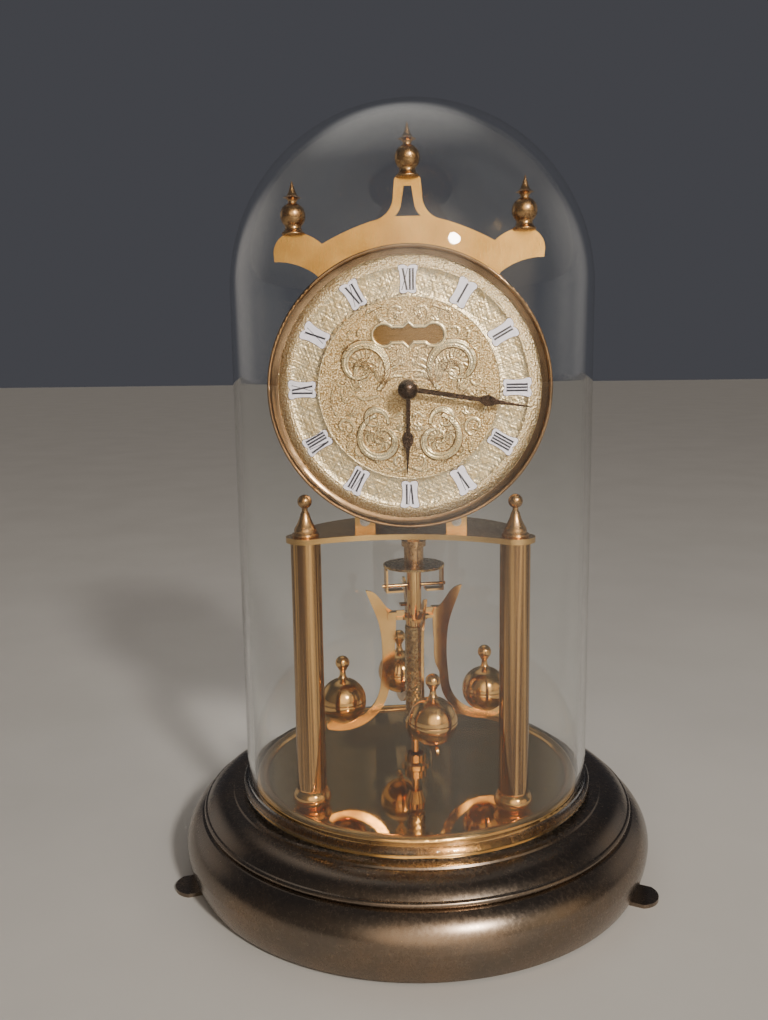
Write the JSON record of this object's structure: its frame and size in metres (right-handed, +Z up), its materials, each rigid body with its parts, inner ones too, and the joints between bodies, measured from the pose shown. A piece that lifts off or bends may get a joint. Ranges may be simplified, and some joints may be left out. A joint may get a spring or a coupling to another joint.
{
  "type": "anniversary clock",
  "caption": "Torsion pendulum clock with a round dial on a columned platform, ball pendulum below, round bronzed base and a lift-off glass dome.",
  "frame": {"origin": "on the base's axis at the plane that the feet stand on", "axes": "+Z up along the pendulum's axis; the dial faces -Y; +X is to the right of someone facing the dial"},
  "size_m": [0.192, 0.192, 0.304],
  "materials": {
    "polished_brass": "polished and lacquered",
    "mirror_brass": "mirror polished",
    "brushed_brass": "satin brushed and lacquered",
    "turned_brass": "turned, slightly darkened",
    "textured_brass": "embossed, dark gold",
    "movement_brass": "grained",
    "bronzed_brass": "dark antique bronze lacquer, satin and mottled",
    "dark_bronze": "burnished, nearly black",
    "dial_gold": "embossed, stippled and brushed gilt",
    "plaque_enamel": "glossy pale enamel with black numerals",
    "steel": "polished",
    "spring_alloy": "rolled nickel alloy strip",
    "dome_glass": "clear, blown"
  },
  "bodies": {
    "root": {"base_shell": "bronzed_brass", "base_feet": "bronzed_brass", "base_plate": "mirror_brass", "dome_ring": "polished_brass", "guide_cup": "polished_brass", "column_left": "polished_brass", "column_right": "polished_brass", "column_feet": "polished_brass", "column_finials": "turned_brass", "tie_rods": "steel", "tie_rod_nuts": "steel", "platform": "brushed_brass", "front_plate": "movement_brass", "back_plate": "movement_brass", "plate_pillars": "movement_brass", "movement_feet": "movement_brass", "plate_screws": "steel", "click_spring": "steel", "dial": "dial_gold", "dial_can": "polished_brass", "bezel": "polished_brass", "numeral_plaques": "plaque_enamel", "crest": "brushed_brass", "crest_finials": "turned_brass", "suspension_saddle": "movement_brass", "suspension_top_block": "movement_brass", "suspension_spring": "spring_alloy"},
    "dome": {"glass_dome": "dome_glass"},
    "minute": {"centre_arbor": "steel", "centre_wheel": "movement_brass", "cannon_pinion": "movement_brass", "minute_hand": "dark_bronze", "hand_nut": "dark_bronze"},
    "hour": {"hour_wheel": "movement_brass", "hour_hand": "dark_bronze"},
    "motion": {"minute_wheel": "movement_brass"},
    "second": {"second_arbor": "steel", "second_wheel": "movement_brass"},
    "first": {"first_arbor": "steel", "first_wheel": "movement_brass"},
    "barrel": {"barrel": "movement_brass", "barrel_cap": "movement_brass", "mainspring": "steel"},
    "escape": {"escape_arbor": "steel", "escape_wheel": "movement_brass"},
    "winding": {"winding_arbor": "steel", "ratchet_wheel": "steel"},
    "click": {"click": "steel"},
    "pendulum": {"suspension_bottom_block": "movement_brass", "pendulum_hub": "dark_bronze", "pendulum_column": "textured_brass", "pendulum_arms": "polished_brass", "arm_spider": "polished_brass", "pendulum_balls": "polished_brass"},
    "fork": {"suspension_fork": "movement_brass"},
    "anchor": {"anchor": "steel", "anchor_arbor": "steel"},
    "regulator": {"regulating_disc": "textured_brass"},
    "weight_left": {"regulator_weight_left": "movement_brass"},
    "weight_right": {"regulator_weight_right": "movement_brass"}
  },
  "joints": [
    {"name": "dome_lift", "type": "slide", "parent": "root", "child": "dome", "axis": [0, 0, 1], "range_m": [0, 0.28]},
    {"name": "minute_turn", "type": "hinge", "parent": "root", "child": "minute", "pos_m": [0, 0, 0.1973], "axis": [0, 1, 0], "continuous": true},
    {"name": "hour_turn", "type": "hinge", "parent": "root", "child": "hour", "pos_m": [0, 0, 0.1973], "axis": [0, 1, 0], "continuous": true},
    {"name": "motion_turn", "type": "hinge", "parent": "root", "child": "motion", "pos_m": [0.00643, 0, 0.1919], "axis": [0, 1, 0], "continuous": true},
    {"name": "second_turn", "type": "hinge", "parent": "root", "child": "second", "pos_m": [0.01263, 0, 0.19553], "axis": [0, 1, 0], "continuous": true},
    {"name": "first_turn", "type": "hinge", "parent": "root", "child": "first", "pos_m": [0.0113, 0, 0.18119], "axis": [0, 1, 0], "continuous": true},
    {"name": "barrel_turn", "type": "hinge", "parent": "root", "child": "barrel", "pos_m": [-0.009, 0, 0.1738], "axis": [0, 1, 0], "continuous": true},
    {"name": "escape_turn", "type": "hinge", "parent": "root", "child": "escape", "pos_m": [0, 0, 0.20978], "axis": [0, 1, 0], "continuous": true},
    {"name": "winding_turn", "type": "hinge", "parent": "root", "child": "winding", "pos_m": [-0.009, 0, 0.1738], "axis": [0, 1, 0], "continuous": true},
    {"name": "click_lift", "type": "hinge", "parent": "root", "child": "click", "pos_m": [-0.0185, 0, 0.1808], "axis": [0, -1, 0], "range_deg": [0, 12], "stiffness_Nm_per_rad": 0.001, "springref_deg": -11.46},
    {"name": "pendulum_turn", "type": "hinge", "parent": "root", "child": "pendulum", "pos_m": [0, 0, 0.24], "axis": [0, 0, 1], "range_deg": [-135, 135], "stiffness_Nm_per_rad": 0.00002, "deforming": ["suspension_spring"]},
    {"name": "fork_turn", "type": "hinge", "parent": "root", "child": "fork", "pos_m": [0, 0, 0.2327], "axis": [0, 0, 1], "range_deg": [-11, 11]},
    {"name": "anchor_rock", "type": "hinge", "parent": "root", "child": "anchor", "pos_m": [0, 0, 0.2218], "axis": [0, 1, 0], "range_deg": [-3, 3]},
    {"name": "regulator_turn", "type": "hinge", "parent": "pendulum", "child": "regulator", "pos_m": [0, 0, 0.1245], "axis": [0, 0, 1], "range_deg": [-170, 170]},
    {"name": "weight_left_slide", "type": "slide", "parent": "pendulum", "child": "weight_left", "axis": [-0.9646, -0.2639, 0], "range_m": [-0.0012, 0.0012]},
    {"name": "weight_right_slide", "type": "slide", "parent": "pendulum", "child": "weight_right", "axis": [0.9646, 0.2639, 0], "range_m": [-0.0012, 0.0012]}
  ],
  "couplings": [
    {"joint": "hour_turn", "follows": "minute_turn", "ratio": 0.083333},
    {"joint": "motion_turn", "follows": "minute_turn", "ratio": -0.33333},
    {"joint": "second_turn", "follows": "minute_turn", "ratio": -0.13333},
    {"joint": "first_turn", "follows": "minute_turn", "ratio": 0.016667},
    {"joint": "barrel_turn", "follows": "minute_turn", "ratio": -0.0020833},
    {"joint": "escape_turn", "follows": "minute_turn", "ratio": -12},
    {"joint": "fork_turn", "follows": "pendulum_turn", "ratio": 0.08},
    {"joint": "anchor_rock", "follows": "pendulum_turn", "ratio": 0.02125},
    {"joint": "weight_left_slide", "follows": "regulator_turn", "m_per_rad": 0.0004},
    {"joint": "weight_right_slide", "follows": "regulator_turn", "m_per_rad": 0.0004}
  ]
}
